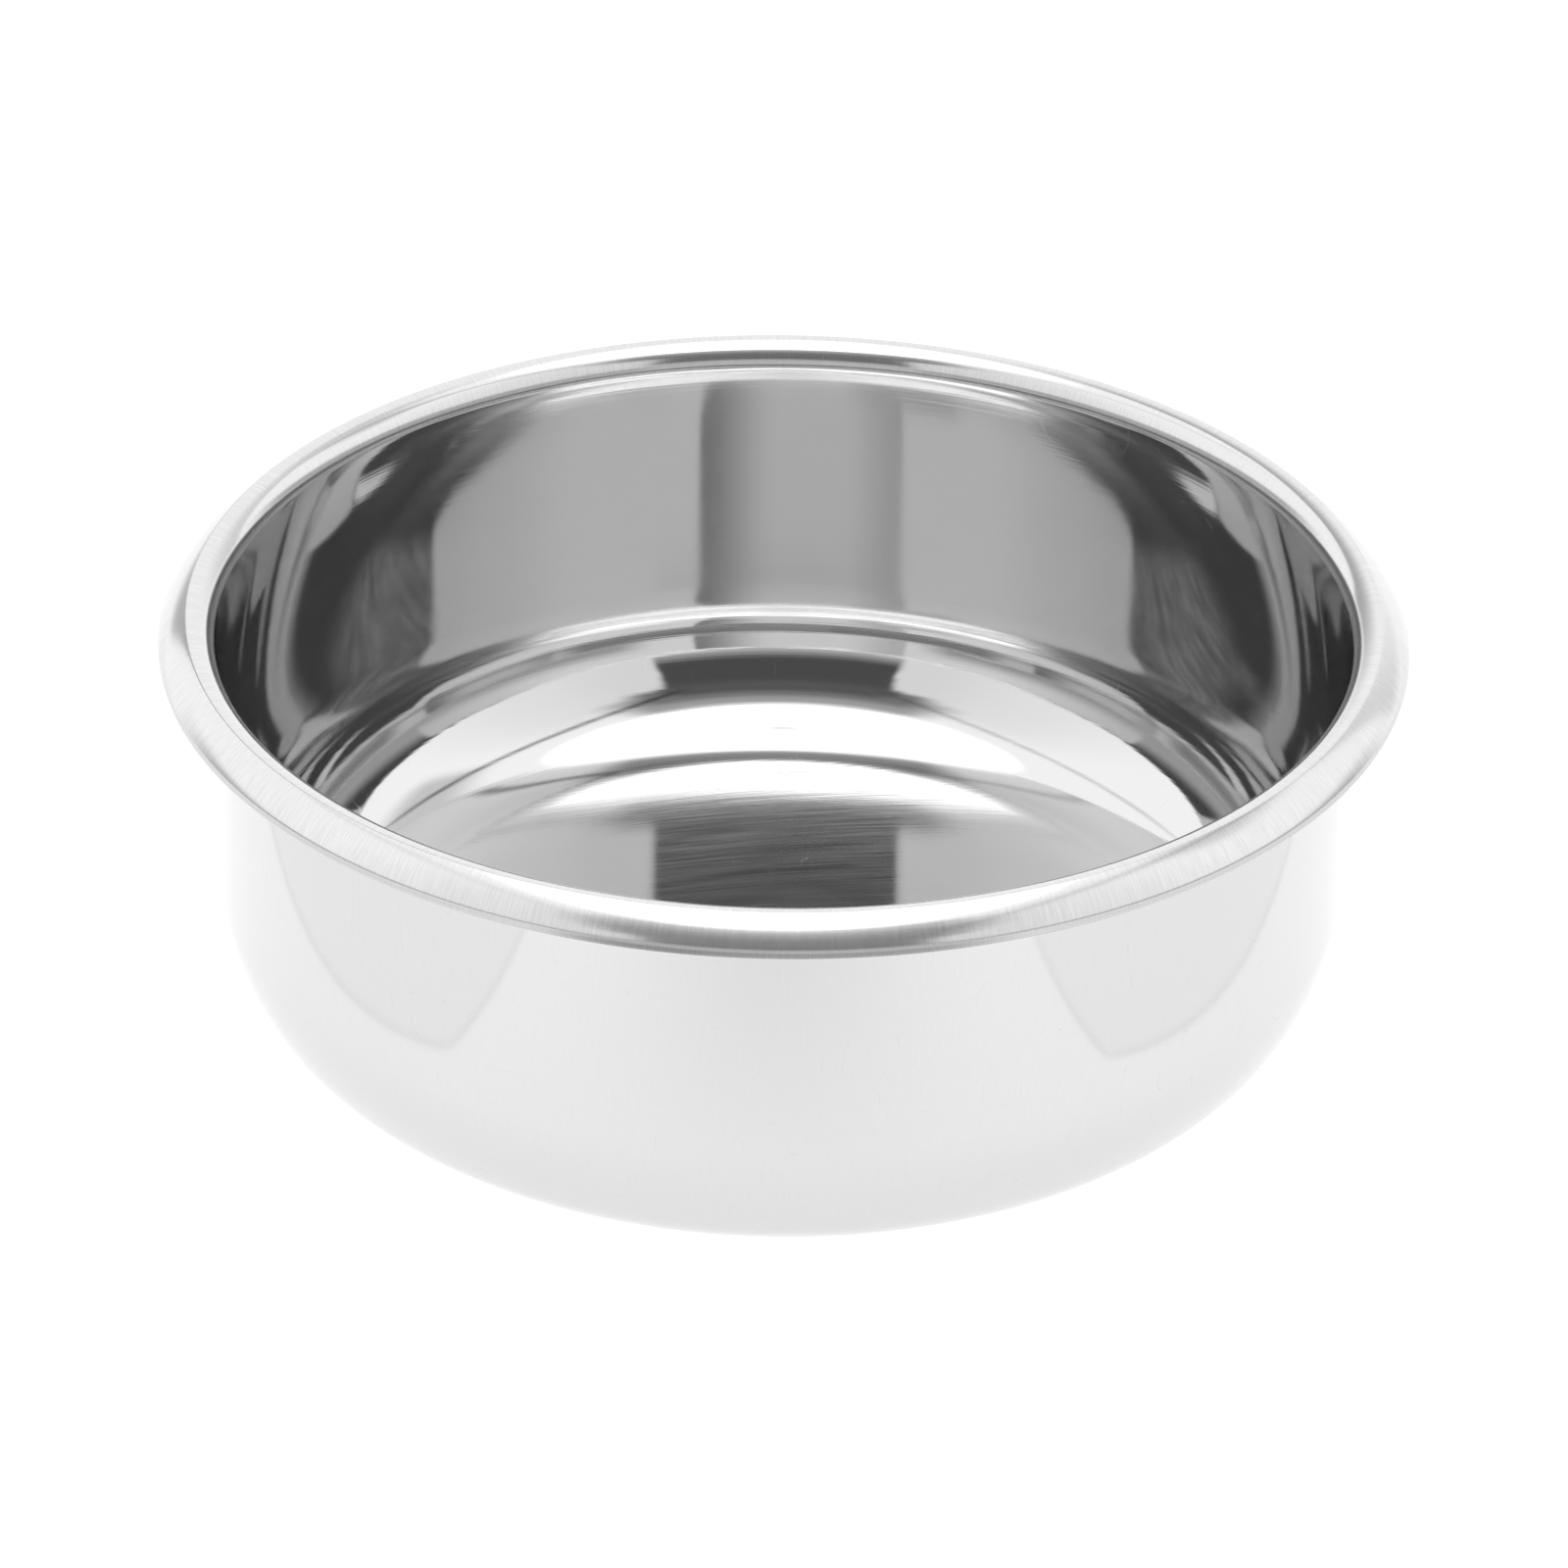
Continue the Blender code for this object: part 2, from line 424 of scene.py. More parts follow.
def build_hairlines():
    """Thin scratches: 1 on a line and 0 off it."""
    tree, given, result = new_tree("hairlines", "ShaderNodeTree", [
        ("Vector", "NodeSocketVector", None),
        ("Turn", "NodeSocketFloat", 0.0),
        ("Reach", "NodeSocketFloat", 0.02),
        ("Width", "NodeSocketFloat", 0.006),
        ("Amount", "NodeSocketFloat", 0.5),
        ("Seed", "NodeSocketFloat", 0.0),
    ], [("Mask", "NodeSocketFloat")])
    turned = put(tree, "ShaderNodeVectorRotate", {"rotation_type": "Z_AXIS"}, Vector=given["Vector"],
                 Angle=given["Turn"]).outputs[0]
    place = put(tree, "ShaderNodeSeparateXYZ", Vector=turned).outputs
    along = math_node(tree, "DIVIDE", place["X"], given["Reach"])
    squeezed = math_node(tree, "MULTIPLY", place["Y"], HAIRLINE_STRETCH)
    across = math_node(tree, "DIVIDE", squeezed, given["Reach"])
    depth = math_node(tree, "ADD", math_node(tree, "DIVIDE", place["Z"], given["Reach"]), given["Seed"])
    spot = put(tree, "ShaderNodeCombineXYZ", X=along, Y=across, Z=depth).outputs[0]

    def noise(scale):
        return put(tree, "ShaderNodeTexNoise", Vector=spot, Scale=scale, Detail=0.0).outputs[0]

    off_line = math_node(tree, "ABSOLUTE", math_node(tree, "SUBTRACT", noise(1.0), 0.5))
    off_line = math_node(tree, "DIVIDE", off_line, given["Width"])
    line = math_node(tree, "SUBTRACT", 1.0, off_line, clamp=True)
    gate = math_node(tree, "SUBTRACT", 1.0, given["Amount"])
    shown = math_node(tree, "GREATER_THAN", noise(GATE_SCALE), gate)
    tree.links.new(math_node(tree, "MULTIPLY", line, shown), result["Mask"])
    return tree


hairlines = build_hairlines()
print("hairlines:", len(hairlines.nodes), "nodes")

# %% [markdown]
# Pits and specks are round and rare. A Voronoi texture scatters one point in each cell; its
# distance gives a dot, and the random colour of the cell decides whether the dot is there at all.
# Smudges are the opposite: broad, soft and faint, a slow noise with its middle stretched.

# %% Groups: specks and smudges
CLOUD_DETAIL = 3.0
CLOUD_LOW = 0.38
CLOUD_HIGH = 0.68


def build_specks():
    """Small round dots, 1 at the middle and 0 off them."""
    tree, given, result = new_tree("specks", "ShaderNodeTree", [
        ("Vector", "NodeSocketVector", None),
        ("Cell", "NodeSocketFloat", 0.004),
        ("Size", "NodeSocketFloat", 0.05),
        ("Share", "NodeSocketFloat", 0.2),
    ], [("Mask", "NodeSocketFloat")])
    scale = math_node(tree, "DIVIDE", 1.0, given["Cell"])
    cells = put(tree, "ShaderNodeTexVoronoi", Vector=given["Vector"], Scale=scale, Randomness=1.0)
    lot = put(tree, "ShaderNodeSeparateColor", Color=cells.outputs["Color"]).outputs
    size = math_node(tree, "MULTIPLY", given["Size"], lot[1])
    near = math_node(tree, "DIVIDE", cells.outputs["Distance"], size)
    dot = math_node(tree, "SUBTRACT", 1.0, near, clamp=True)
    shown = math_node(tree, "LESS_THAN", lot[0], given["Share"])
    tree.links.new(math_node(tree, "MULTIPLY", dot, shown), result["Mask"])
    return tree


def build_smudges():
    """Soft clouds from 0 to 1."""
    tree, given, result = new_tree("smudges", "ShaderNodeTree", [
        ("Vector", "NodeSocketVector", None),
        ("Size", "NodeSocketFloat", 0.02),
        ("Seed", "NodeSocketFloat", 0.0),
    ], [("Mask", "NodeSocketFloat")])
    noise = put(tree, "ShaderNodeTexNoise", {"noise_dimensions": "4D"}, Vector=given["Vector"],
                W=given["Seed"], Scale=math_node(tree, "DIVIDE", 1.0, given["Size"]),
                Detail=CLOUD_DETAIL)
    cloud = put(tree, "ShaderNodeMapRange", {"interpolation_type": "SMOOTHSTEP"},
                Value=noise.outputs[0], From_Min=CLOUD_LOW, From_Max=CLOUD_HIGH)
    tree.links.new(cloud.outputs["Result"], result["Mask"])
    return tree


specks = build_specks()
smudges = build_smudges()
print("specks and smudges:", len(specks.nodes), "and", len(smudges.nodes), "nodes")

# %% [markdown]
# The seam under the curl of the rim holds polishing paste and painted shade, darkened as a recess would
# be. That seam is a circle, so the mask is the distance to the circle, worked out from the distance to
# the axis and the height.

# %% Group: near a ring
def build_near_ring():
    """1 on a circle round the axis and 0 further away than Width."""
    tree, given, result = new_tree("near_ring", "ShaderNodeTree", [
        ("Vector", "NodeSocketVector", None),
        ("Radius", "NodeSocketFloat", 0.05),
        ("Height", "NodeSocketFloat", 0.04),
        ("Width", "NodeSocketFloat", 0.0003),
    ], [("Mask", "NodeSocketFloat")])
    flat = put(tree, "ShaderNodeVectorMath", {"operation": "MULTIPLY"}, _0=given["Vector"],
               _1=(1.0, 1.0, 0.0))
    radius = put(tree, "ShaderNodeVectorMath", {"operation": "LENGTH"}, _0=flat.outputs[0])
    radius = radius.outputs["Value"]
    height = put(tree, "ShaderNodeSeparateXYZ", Vector=given["Vector"]).outputs["Z"]
    off = put(tree, "ShaderNodeCombineXYZ", X=math_node(tree, "SUBTRACT", radius, given["Radius"]),
              Y=math_node(tree, "SUBTRACT", height, given["Height"])).outputs[0]
    away = put(tree, "ShaderNodeVectorMath", {"operation": "LENGTH"}, _0=off).outputs["Value"]
    away = math_node(tree, "DIVIDE", away, given["Width"])
    near = math_node(tree, "SUBTRACT", 1.0, away, clamp=True)
    tree.links.new(near, result["Mask"])
    return tree


near_ring = build_near_ring()
print("near ring:", len(near_ring.nodes), "nodes")

# %% [markdown]
# ## Polished steel
# Steel is a metal, so its colour is the colour of its reflection, here a neutral grey that gives
# back about two thirds of the light. Each bounce inside the bowl takes another third, which is
# why the walls are darker than the room. Roughness is very low on the walls, a little higher on
# the floor, and highest where the rim was left satin. Lines and pits are real heights in metres,
# which a Bump node turns into small tilts of the surface. Tilts across fine lines smear a
# reflection at right angles to them, which is the look of brushed metal.

# %% Numbers for the steel
FLOOR_EDGE = next(s[4] for s in stations if s[3] == "corner")
SEAM_HEADING = math.radians(-110)
SEAM = next((s[0], s[1]) for s in stations if s[3] == "curl" and s[2] < SEAM_HEADING)
STEEL_GREY = 0.68
# The grey of the seam line under the curl. That line is polishing paste and painted shade.
SEAM_PASTE_AND_SHADE_GREY = 0.10
PIT_GREY = 0.30
MIRROR_ROUGHNESS = 0.02
SATIN_ROUGHNESS = 0.13
FLOOR_ROUGHNESS = 0.09
ROUGHENING = {"broad": 0.03, "smudges": 0.015, "scratches": 0.08, "paste_and_shade": 0.3}
print(f"floor ends {1000 * FLOOR_EDGE:.1f} mm along the sheet")
print(f"seam at radius {1000 * SEAM[0]:.1f} mm, height {1000 * SEAM[1]:.1f} mm")

# %% [markdown]
# Each kind of mark has its own sizes in metres. A pair such as HAZE_RING is a soft step: the place
# of the change, and half its width. Haze is the share of light that the surface scatters instead
# of mirroring. It is strongest at the far and near ends of the floor and on the rim.

# %% Numbers for the marks
TURNED = {"Spacing": 0.00016, "Length": 0.03, "Seed": 2.0}
SWEPT = {"Spacing": 0.00022, "Length": 0.014, "Seed": 6.0}
SWEEP_CENTRE = (0.02, -0.10, 0.0)
RIM_LINES = {"Spacing": 0.00018, "Length": 0.003, "Seed": 11.0}
RIM_GRAIN = 0.22
SCRATCHES = {"Reach": 0.009, "Width": 0.004, "Amount": 0.36}
SCRATCH_FAMILIES = ((0.5, 1.0), (1.9, 22.0))
DOTS = {"Cell": 0.011, "Size": 0.07, "Share": 0.55}
CLOUDS = {"Size": 0.03, "Seed": 1.0}
SATIN_HAZE = 0.21
FLOOR_HAZE = {"middle": 0.12, "side": 0.03, "edge": 0.42}
HAZE_RING = (0.028, 0.011)
HAZE_SIDE = (0.016, 0.005)
WALL_HAZE = 0.02
SCRATCH_HAZE = 0.12
WALL_START = (FLOOR_EDGE + 0.001, 0.002)
STREAK_STEP = (0.7, 0.4)
BROAD_SHARE = 0.4
# The dark seam line under the curl is polishing paste and painted shade, laid in patches. The painted
# shade is made much darker at the front, on the side that faces the camera.
SEAM_WIDTH = 0.0008
SEAM_SHADE_FRONT_STEP = (0.0572, 0.0018)
SEAM_PASTE_AND_SHADE_GAIN = 1.6
SEAM_PASTE_AND_SHADE_PATCHES = (0.75, 1.0)
SEAM_PASTE_AND_SHADE_ROUND_TO_FRONT = (0.2, 0.85)
LINE_DEPTH = {"floor": 0.000009, "wall": 0.000002}
PIT_DEPTH = 0.00001
print(f"lines {1e6 * LINE_DEPTH['floor']:.0f} micrometres deep on the floor,",
      f"{1e6 * LINE_DEPTH['wall']:.0f} on the wall")

# %% [markdown]
# Four small helpers read well in the recipes below: one places a node group, one reads an
# attribute of the mesh, one blends two values and one makes a soft step.

# %% Helpers for materials
def use_group(tree, group, **values):
    """Place a shader node group, with its inputs set or linked."""
    return put(tree, "ShaderNodeGroup", {"node_tree": group}, **values).outputs


def attribute(tree, name):
    """A named attribute of the mesh, as a number."""
    return put(tree, "ShaderNodeAttribute", {"attribute_name": name}).outputs["Fac"]


def blend(tree, factor, low, high):
    """low where factor is 0 and high where it is 1."""
    return put(tree, "ShaderNodeMix", {"data_type": "FLOAT"}, _0=factor, _2=low, _3=high).outputs[0]


def soft_step(tree, value, edge, softness):
    """0 below the edge and 1 above it, with a soft change between."""
    return put(tree, "ShaderNodeMapRange", {"interpolation_type": "SMOOTHSTEP"}, Value=value,
               From_Min=edge - softness, From_Max=edge + softness).outputs["Result"]


print("helpers:", use_group.__name__, attribute.__name__, blend.__name__, soft_step.__name__)

# %% [markdown]
# The steel itself reads the marks and turns them into four things: roughness, colour, the share
# that is a clear mirror (Metallic) and height. The weight `satin` comes with the mesh, and `along`
# is the distance walked from the axis, which tells the floor from the wall.

# %% Mix the polished steel
def make_polished_steel():
    """The steel of the bowl."""
    material = bpy.data.materials.new("polished_steel")
    material.use_nodes = True
    tree = material.node_tree
    shader = tree.nodes["Principled BSDF"]
    place = put(tree, "ShaderNodeTexCoord").outputs["Object"]
    spot = put(tree, "ShaderNodeSeparateXYZ", Vector=place).outputs
    along = attribute(tree, "along")
    satin = attribute(tree, "satin")

    round_marks = put(tree, "ShaderNodeCombineXYZ", X=along, Y=spot["X"], Z=spot["Y"]).outputs[0]
    turned = use_group(tree, brushed_lines, Vector=round_marks, **TURNED)
    away = put(tree, "ShaderNodeVectorMath", {"operation": "SUBTRACT"}, _0=place, _1=SWEEP_CENTRE)
    sweep = put(tree, "ShaderNodeVectorMath", {"operation": "LENGTH"}, _0=away.outputs[0])
    sweep = sweep.outputs["Value"]
    swept_marks = put(tree, "ShaderNodeCombineXYZ", X=sweep, Y=spot["X"], Z=along).outputs[0]
    swept = use_group(tree, brushed_lines, Vector=swept_marks, **SWEPT)
    on_wall = soft_step(tree, along, *WALL_START)
    broad = blend(tree, on_wall, swept["Broad"], turned["Broad"])

    scratches = None
    for turn, seed in SCRATCH_FAMILIES:
        family = use_group(tree, hairlines, Vector=place, Turn=turn, Seed=seed, **SCRATCHES)["Mask"]
        scratches = family if scratches is None else math_node(tree, "MAXIMUM", scratches, family)
    dots = use_group(tree, specks, Vector=place, **DOTS)["Mask"]
    clouds = use_group(tree, smudges, Vector=place, **CLOUDS)["Mask"]
    angle = math_node(tree, "ARCTAN2", spot["Y"], spot["X"])
    round_rim = math_node(tree, "MULTIPLY", angle, RIM_RADIUS)
    over_rim = put(tree, "ShaderNodeCombineXYZ", X=round_rim, Y=along).outputs[0]
    grain = use_group(tree, brushed_lines, Vector=over_rim, **RIM_LINES)["Fine"]
    satin_grain = math_node(tree, "MULTIPLY", math_node(tree, "SUBTRACT", grain, 0.5), satin)
    # The seam line is polishing paste and painted shade under the curl, darkest at the front, which
    # faces the camera. It darkens the colour, roughens the steel and takes from the mirror share.
    paste_and_shade = use_group(tree, near_ring, Vector=place, Radius=SEAM[0], Height=SEAM[1],
                      Width=SEAM_WIDTH)["Mask"]
    paste_and_shade = math_node(tree, "MULTIPLY", paste_and_shade, SEAM_PASTE_AND_SHADE_GAIN, clamp=True)
    in_front = soft_step(tree, math_node(tree, "MULTIPLY", spot["Y"], -1.0), *SEAM_SHADE_FRONT_STEP)
    paste_and_shade = math_node(tree, "MULTIPLY", paste_and_shade, blend(tree, clouds, *SEAM_PASTE_AND_SHADE_PATCHES))
    paste_and_shade = math_node(tree, "MULTIPLY", paste_and_shade, blend(tree, in_front, *SEAM_PASTE_AND_SHADE_ROUND_TO_FRONT))

    rough = blend(tree, on_wall, FLOOR_ROUGHNESS, MIRROR_ROUGHNESS)
    rough = blend(tree, satin, rough, SATIN_ROUGHNESS)
    masks = {"broad": broad, "smudges": clouds, "scratches": scratches, "paste_and_shade": paste_and_shade}
    for name, amount in ROUGHENING.items():
        rough = math_node(tree, "MULTIPLY_ADD", masks[name], amount, rough)
    tree.links.new(rough, shader.inputs["Roughness"])

    grey = blend(tree, dots, STEEL_GREY, PIT_GREY)
    grey = blend(tree, paste_and_shade, grey, SEAM_PASTE_AND_SHADE_GREY)
    grey = math_node(tree, "MULTIPLY_ADD", satin_grain, RIM_GRAIN, grey)
    colour = put(tree, "ShaderNodeCombineColor", Red=grey, Green=grey, Blue=grey).outputs[0]
    tree.links.new(colour, shader.inputs["Base Color"])
    fine = blend(tree, on_wall, swept["Fine"], turned["Fine"])
    streaks = math_node(tree, "MULTIPLY_ADD", broad, BROAD_SHARE, fine)
    streaks = soft_step(tree, streaks, *STREAK_STEP)
    to_edge = soft_step(tree, along, *HAZE_RING)
    to_side = soft_step(tree, math_node(tree, "ABSOLUTE", spot["X"]), *HAZE_SIDE)
    to_edge = math_node(tree, "MULTIPLY", to_edge, math_node(tree, "SUBTRACT", 1.0, to_side))
    sheet_haze = blend(tree, to_side, FLOOR_HAZE["middle"], FLOOR_HAZE["side"])
    sheet_haze = blend(tree, to_edge, sheet_haze, FLOOR_HAZE["edge"])
    floor_haze = math_node(tree, "MULTIPLY", blend(tree, on_wall, sheet_haze, WALL_HAZE), streaks)
    veil = math_node(tree, "MULTIPLY_ADD", satin, SATIN_HAZE, floor_haze)
    veil = math_node(tree, "MULTIPLY_ADD", scratches, SCRATCH_HAZE, veil)
    clear = math_node(tree, "SUBTRACT", 1.0, math_node(tree, "ADD", veil, paste_and_shade), clamp=True)
    tree.links.new(clear, shader.inputs["Metallic"])

    floor_lines = math_node(tree, "MULTIPLY", swept["Fine"], LINE_DEPTH["floor"])
    wall_lines = math_node(tree, "MULTIPLY", turned["Fine"], LINE_DEPTH["wall"])
    height = blend(tree, on_wall, floor_lines, wall_lines)
    height = math_node(tree, "SUBTRACT", height, math_node(tree, "MULTIPLY", dots, PIT_DEPTH))
    bump = put(tree, "ShaderNodeBump", Strength=1.0, Distance=1.0, Height=height)
    tree.links.new(bump.outputs[0], shader.inputs["Normal"])
    return material


polished_steel = make_polished_steel()
print("polished steel:", len(polished_steel.node_tree.nodes), "nodes")

# %% [markdown]
# ## The bowl
# The turning tree now runs once on the section. 288 steps round the axis keep each facet under
# 1.4 mm, so a reflection runs smoothly over them. The ripple is a fiftieth of a millimetre.

# %% Turn the bowl
TURNING = {"Steps": 288, "Ripple": 0.00002, "Ripple Size": 0.03, "Hem Wander": 0.00025, "Seed": 4.0}
SHARP_ANGLE = math.radians(40)
bowl = bake_nodes("bowl_sheet", section_mesh(), turning_tree, {**TURNING, "Finish": polished_steel})
bowl.data.set_sharp_from_angle(angle=SHARP_ANGLE)
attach(bowl, "root")
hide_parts("bowl_shell")
print("bowl:", len(bowl.data.polygons), "faces")

# %% [markdown]
# ## The wire in the rim
# The rolled rim is wound round a drawn steel wire. It hardly shows, but the frame holds it, and
# whoever opens the rim should find real wire: dull, with draw lines along its length.

# %% Mix the wire's steel
WIRE_LINE_DEPTH = 0.000005
WIRE_LINES = {"Spacing": 0.00006, "Length": 0.03, "Seed": 9.0}
WIRE_STAINS = {"Size": 0.006, "Seed": 4.0}
WIRE_GREYS = (0.50, 0.36)
WIRE_ROUGHNESS = (0.25, 0.50)


def make_wire_steel():
    """Drawn wire: satin, with lines that run along it."""
    material = bpy.data.materials.new("wire_steel")
    material.use_nodes = True
    tree = material.node_tree
    shader = tree.nodes["Principled BSDF"]
    place = put(tree, "ShaderNodeTexCoord").outputs["Object"]
    spot = put(tree, "ShaderNodeSeparateXYZ", Vector=place).outputs
    square_x = math_node(tree, "MULTIPLY", spot["X"], spot["X"])
    square_y = math_node(tree, "MULTIPLY", spot["Y"], spot["Y"])
    radius = math_node(tree, "SQRT", math_node(tree, "ADD", square_x, square_y))
    drawn = put(tree, "ShaderNodeCombineXYZ", X=math_node(tree, "ADD", radius, spot["Z"]), Y=spot["X"],
                Z=spot["Y"]).outputs[0]
    lines = use_group(tree, brushed_lines, Vector=drawn, **WIRE_LINES)
    stains = use_group(tree, smudges, Vector=place, **WIRE_STAINS)["Mask"]
    grey = blend(tree, stains, *WIRE_GREYS)
    colour = put(tree, "ShaderNodeCombineColor", Red=grey, Green=grey, Blue=grey).outputs[0]
    tree.links.new(colour, shader.inputs["Base Color"])
    tree.links.new(blend(tree, lines["Broad"], *WIRE_ROUGHNESS), shader.inputs["Roughness"])
    shader.inputs["Metallic"].default_value = 1.0
    bump = put(tree, "ShaderNodeBump", Strength=1.0, Distance=WIRE_LINE_DEPTH, Height=lines["Fine"])
    tree.links.new(bump.outputs[0], shader.inputs["Normal"])
    return material


wire_steel = make_wire_steel()
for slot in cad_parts["rim_wire"].material_slots:
    slot.material = wire_steel
print("rim wire:", len(wire_steel.node_tree.nodes), "material nodes")

# %% [markdown]
# ## The table
# A plain pale table with a glow of its own, as a light table has. Half of what the outside of the
# bowl shows is this table. The glow keeps the shadow under the bowl faint, and it is a touch
# weaker in front and beyond two slanting edges, where a bright card under the bowl would end, with
# a thin shade along each edge. To the eye it is all white; only the steel, which gives back less
# light, shows the difference.

# %% Lay the table
TABLE_SIZE = 4.0
TABLE_DROP = 0.0001
TABLE_GREY = 0.30
TABLE_GLOW = 0.88
FRONT_LOSS = 0.17
CARD_LINE_LOSS = 0.16
CARD_SOFTNESS = 0.0010
FRONT_STEP = (0.085, 0.035)
SIDE_STEP = (0.032, 0.032)
TABLE_ROUGHNESS = 0.9
CARD_LOSS = 0.08
CARD_EDGES = [((0.872, -0.489), 0.0797), ((0.965, 0.261), 0.0433)]


def make_table_glass():
    """A lit white surface whose glow depends a little on the place."""
    material = bpy.data.materials.new("table_glass")
    material.use_nodes = True
    tree = material.node_tree
    shader = tree.nodes["Principled BSDF"]
    place = put(tree, "ShaderNodeTexCoord").outputs["Object"]
    spot = put(tree, "ShaderNodeSeparateXYZ", Vector=place).outputs
    side = math_node(tree, "ABSOLUTE", spot["X"])
    in_front = soft_step(tree, math_node(tree, "MULTIPLY", spot["Y"], -1.0), *FRONT_STEP)
    near_middle = math_node(tree, "SUBTRACT", 1.0, soft_step(tree, side, *SIDE_STEP))
    beyond = 1.0
    for (push_x, push_y), reach in CARD_EDGES:
        off = math_node(tree, "MULTIPLY", spot["Y"], push_y)
        off = math_node(tree, "MULTIPLY_ADD", side, push_x, off)
        beyond = math_node(tree, "MULTIPLY", beyond, soft_step(tree, off, reach, CARD_SOFTNESS))
    glow = math_node(tree, "MULTIPLY", math_node(tree, "MULTIPLY", in_front, near_middle), -FRONT_LOSS)
    steady = math_node(tree, "MULTIPLY_ADD", beyond, -CARD_LOSS, TABLE_GLOW)
    glow = math_node(tree, "ADD", glow, steady)
    # A share times what it leaves of one is a quarter at most, at the middle of the soft edge.
    card_line = math_node(tree, "MULTIPLY", beyond, math_node(tree, "SUBTRACT", 1.0, beyond))
    glow = math_node(tree, "MULTIPLY_ADD", card_line, -4.0 * CARD_LINE_LOSS, glow)
    light = put(tree, "ShaderNodeCombineColor", Red=glow, Green=glow, Blue=glow).outputs[0]
    tree.links.new(light, shader.inputs["Emission Color"])
    shader.inputs["Emission Strength"].default_value = 1.0
    shader.inputs["Base Color"].default_value = (TABLE_GREY, TABLE_GREY, TABLE_GREY, 1.0)
    shader.inputs["Roughness"].default_value = TABLE_ROUGHNESS
    shader.inputs["Specular IOR Level"].default_value = 0.0
    return material


bpy.ops.mesh.primitive_plane_add(size=TABLE_SIZE, location=(0, 0, -TABLE_DROP))
table = bpy.context.object
table.name = "table"
table.data.materials.append(make_table_glass())
print(f"table {TABLE_SIZE:.0f} m wide")

# %% [markdown]
# ## A room to reflect
# Polished metal is lit by what it mirrors, so the studio is a white tent drawn by direction.
# Azimuth counts from the camera side, positive to the right, and elevation counts up from the
# table. The tent's walls are pale, its roof is a bright diffuser, a darker band runs along the
# foot of the walls, and a dark gap stays open at the front, where a photographer would stand. Each
# of these is a soft-edged panel laid over the last; angles are in degrees. Two straight folds
# of the cloth run slanting over the sides. The camera itself sees plain white, so that every
# view has the same backdrop.

# %% Hang the studio
TENT = 1.3
BACKDROP = 1.0
MIRROR_BOUNCES = 16
PANELS = [
    # from, to, from softness, to softness, low, high, low softness, high softness, brightness
    (-181, 181, 1, 1, 66, 95, 2.5, 4, 2.8),
    (-181, 181, 1, 1, 87, 95, 3, 4, 1.2),
    (-75, 78, 22, 22, -5, 58, 2, 8, 1.08),
    (-44, 47, 14, 14, -5, 50, 2, 8, 0.95),
    (132.5, 215, 0.7, 0.7, 3, 60, 4, 6, 1.2),
    (199, 215, 17, 0.7, 3, 60, 4, 6, 0.38),
    (132.5, 146, 0.7, 12, 3, 60, 4, 6, 0.85),
    (-122, -18, 10, 10, -5, 14, 2, 4, 0.50),
    (18, 122, 10, 10, -5, 14, 2, 4, 0.50),
    (104, 150, 6, 8, 42, 55, 4, 4, 0.80),
    (-46, 49, 8, 8, 48, 64, 3, 3, 0.48),
    (-38, 40, 5, 5, 44, 57, 2, 3, 0.24),
    (-26, 28, 1, 1, -5, 27, 2, 3, 0.62),
    (-25.2, 27.8, 0.8, 0.8, 20.5, 49, 4, 5, 0.09),
    (-26, 28.5, 1.5, 1.5, 33, 49, 3, 5, 0.09),
    (-27, 29.5, 1.5, 1.5, 39, 49, 3, 5, 0.10),
    (-30, 32.5, 2, 2, 43, 50, 3, 5, 0.13),
]
# Each fold: the normal of the plane it lies in, first and last azimuth, the share of light it takes.
FOLD_WIDTH = 0.032
FOLD_ENDS = 8.0
FOLDS = [
    ((-0.819, 0.219, 0.530), 28, 130, 0.75),
    ((0.819, 0.219, 0.530), -130, -28, 0.35),
]


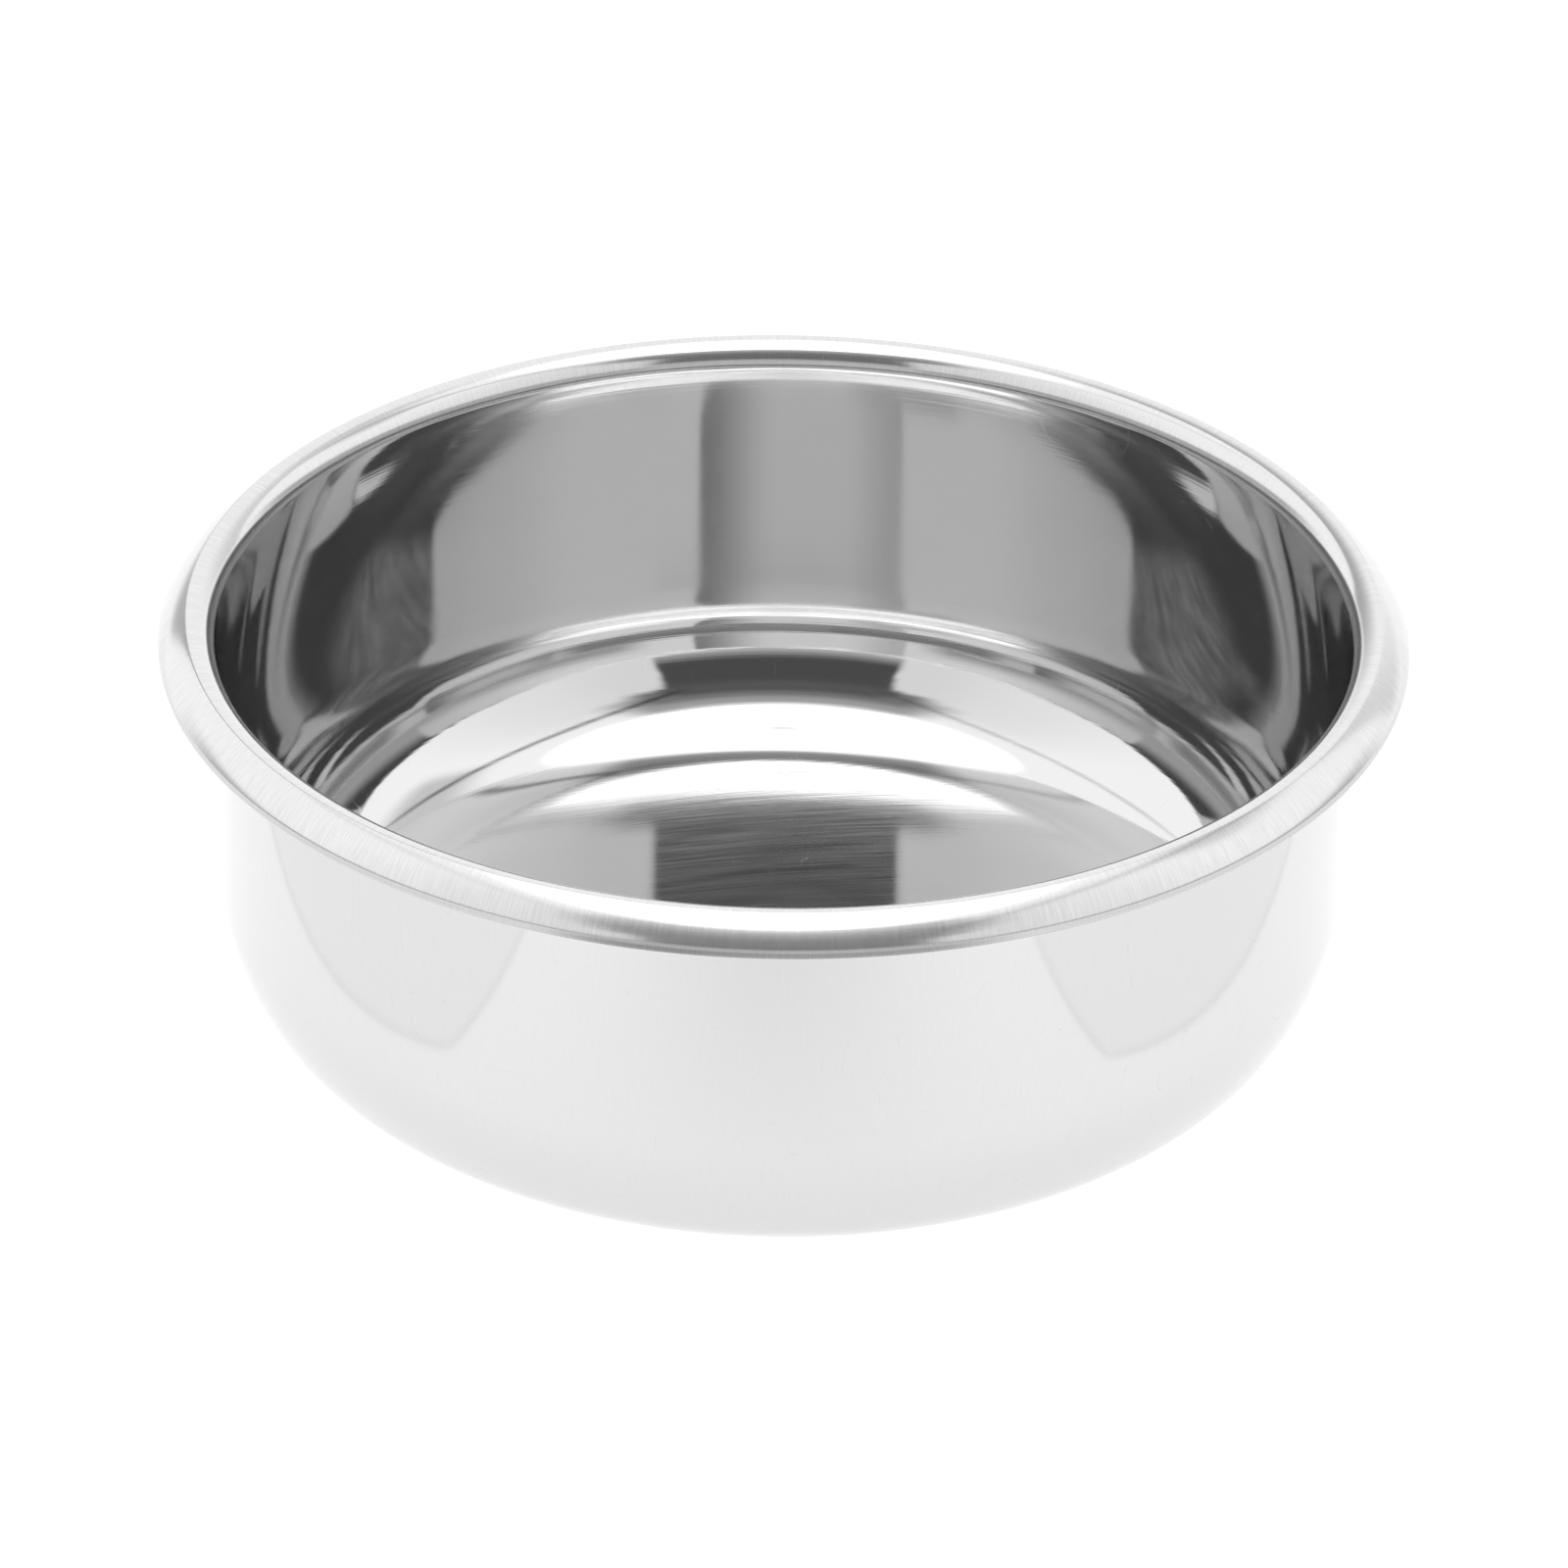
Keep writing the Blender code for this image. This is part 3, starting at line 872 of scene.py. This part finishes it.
def build_studio():
    """A world whose brightness depends on the direction."""
    world = bpy.data.worlds.new("studio")
    world.use_nodes = True
    tree = world.node_tree
    direction = put(tree, "ShaderNodeTexCoord").outputs["Generated"]
    toward = put(tree, "ShaderNodeSeparateXYZ", Vector=direction).outputs
    front = math_node(tree, "MULTIPLY", toward["Y"], -1.0)
    azimuth = math_node(tree, "DEGREES", math_node(tree, "ARCTAN2", toward["X"], front))
    elevation = math_node(tree, "DEGREES", math_node(tree, "ARCSINE", toward["Z"]))
    light = TENT
    for start, end, start_soft, end_soft, low, high, low_soft, high_soft, brightness in PANELS:
        middle = (start + end) / 2
        turned = math_node(tree, "SUBTRACT", azimuth, middle)
        turned = math_node(tree, "WRAP", turned, 180.0, -180.0)
        past_end = soft_step(tree, turned, end - middle, end_soft)
        past_top = soft_step(tree, elevation, high, high_soft)
        mask = math_node(tree, "MULTIPLY", soft_step(tree, turned, start - middle, start_soft),
                         soft_step(tree, elevation, low, low_soft))
        for past in (past_end, past_top):
            mask = math_node(tree, "MULTIPLY", mask, math_node(tree, "SUBTRACT", 1.0, past))
        light = blend(tree, mask, light, brightness)
    for normal, start, end, loss in FOLDS:
        off = put(tree, "ShaderNodeVectorMath", {"operation": "DOT_PRODUCT"}, _0=direction, _1=normal)
        off = math_node(tree, "DIVIDE", math_node(tree, "ABSOLUTE", off.outputs["Value"]), FOLD_WIDTH)
        fold = math_node(tree, "SUBTRACT", 1.0, off, clamp=True)
        ended = math_node(tree, "SUBTRACT", 1.0, soft_step(tree, azimuth, end, FOLD_ENDS))
        begun = soft_step(tree, azimuth, start, FOLD_ENDS)
        fold = math_node(tree, "MULTIPLY", fold, math_node(tree, "MULTIPLY", ended, begun))
        kept = math_node(tree, "MULTIPLY_ADD", fold, -loss, 1.0)
        light = math_node(tree, "MULTIPLY", light, kept)
    from_camera = put(tree, "ShaderNodeLightPath").outputs["Is Camera Ray"]
    seen = blend(tree, from_camera, light, BACKDROP)
    tree.links.new(seen, tree.nodes["Background"].inputs["Color"])
    return world


bpy.context.scene.world = build_studio()
bpy.context.scene.view_settings.view_transform = "Standard"
bpy.context.scene.cycles.max_bounces = MIRROR_BOUNCES
bpy.context.scene.cycles.glossy_bounces = MIRROR_BOUNCES
print("studio:", len(PANELS), "panels and", len(FOLDS), "folds")
